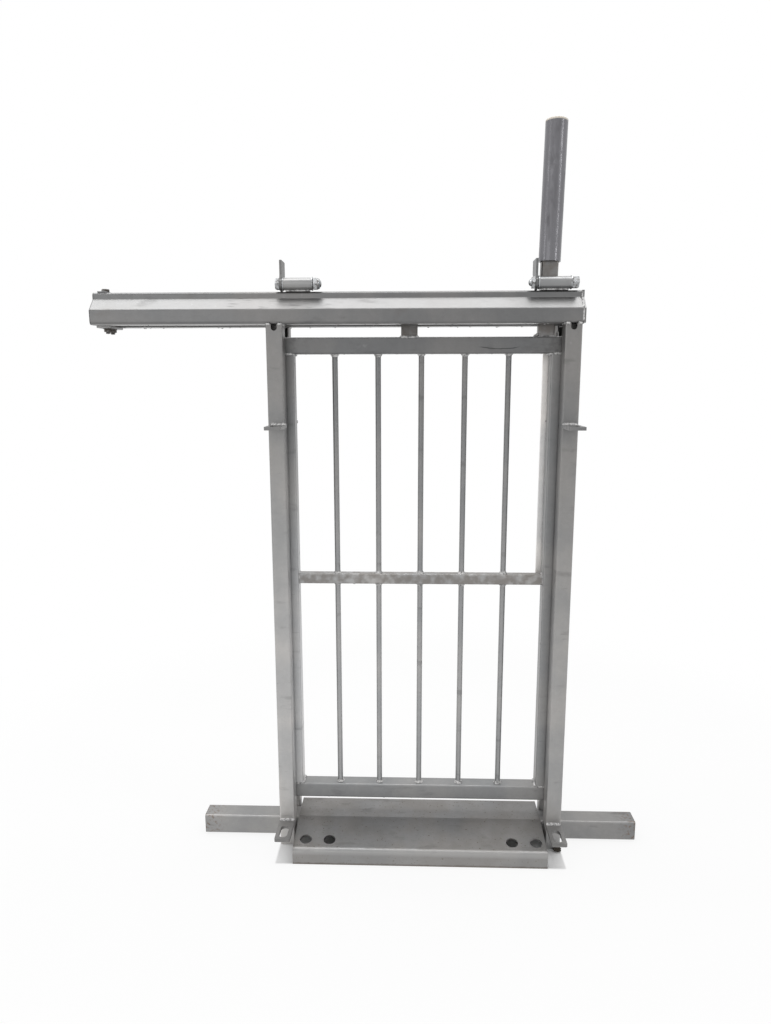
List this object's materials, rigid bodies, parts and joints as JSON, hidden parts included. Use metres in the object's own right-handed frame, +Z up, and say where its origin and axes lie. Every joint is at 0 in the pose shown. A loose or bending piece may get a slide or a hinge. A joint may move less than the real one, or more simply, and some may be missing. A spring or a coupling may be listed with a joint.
{
  "type": "livestock stop gate",
  "caption": "Sliding stop gate for a stock race: a barred leaf hangs by a tall handle from an open-topped track on four posts, over a folded sill plate, with slotted lugs",
  "frame": {"origin": "on the ground, midway between the posts, in line with the front faces of the front posts", "axes": "+Z up, -Y towards the side with the sloping sill and the latches, +X towards the closing posts under the handle"},
  "size_m": [1.032, 0.228, 1.3672],
  "materials": {
    "galvanised": "hot-dip galvanised, dull and slightly mottled",
    "zinc_bolts": "zinc plated",
    "latch_steel": "hot-dip galvanised, rubbed",
    "grip": "grey tube, scuffed by hands",
    "wheel": "pale nylon"
  },
  "bodies": {
    "frame": {"base_tube": "galvanised", "front_post_left": "galvanised", "front_post_right": "galvanised", "rear_post_left": "galvanised", "rear_post_right": "galvanised", "keeper_strip": "galvanised", "rail_front": "galvanised", "rail_rear": "galvanised", "track_end_cap": "galvanised", "track_stop_flats": "galvanised", "track_stop_bolts": "zinc_bolts", "latch_tube_left": "galvanised", "latch_tube_right": "galvanised", "latch_bolt_left": "zinc_bolts", "latch_bolt_right": "zinc_bolts", "sill_plate": "galvanised", "front_lug_lower_left": "galvanised", "front_lug_lower_right": "galvanised", "front_lug_upper_left": "galvanised", "front_lug_upper_right": "galvanised", "rear_lug_lower_left": "galvanised", "rear_lug_lower_right": "galvanised", "rear_lug_upper_left": "galvanised", "rear_lug_upper_right": "galvanised"},
    "leaf": {"leaf_top_rail": "galvanised", "leaf_bottom_rail": "galvanised", "leaf_stile_left": "galvanised", "leaf_stile_right": "galvanised", "leaf_mid_rail": "galvanised", "leaf_bars": "galvanised", "hanger": "galvanised", "handle_post": "galvanised", "grip_sleeve": "grip", "grip_cap": "grip", "axle_mid": "zinc_bolts", "axle_handle": "zinc_bolts", "wheels_mid": "wheel", "wheels_handle": "wheel"},
    "latch_left": {"latch_plate_left": "latch_steel"},
    "latch_right": {"latch_plate_right": "latch_steel"}
  },
  "joints": [
    {"name": "leaf_slide", "type": "slide", "parent": "frame", "child": "leaf", "axis": [-1, 0, 0], "range_m": [0, 0.508]},
    {"name": "latch_left_pivot", "type": "hinge", "parent": "frame", "child": "latch_left", "pos_m": [-0.2535, 0.0215, 1.09085], "axis": [1, 0, 0], "range_deg": [0, 130]},
    {"name": "latch_right_pivot", "type": "hinge", "parent": "frame", "child": "latch_right", "pos_m": [0.2, 0.0215, 1.09085], "axis": [1, 0, 0], "range_deg": [0, 130]}
  ]
}
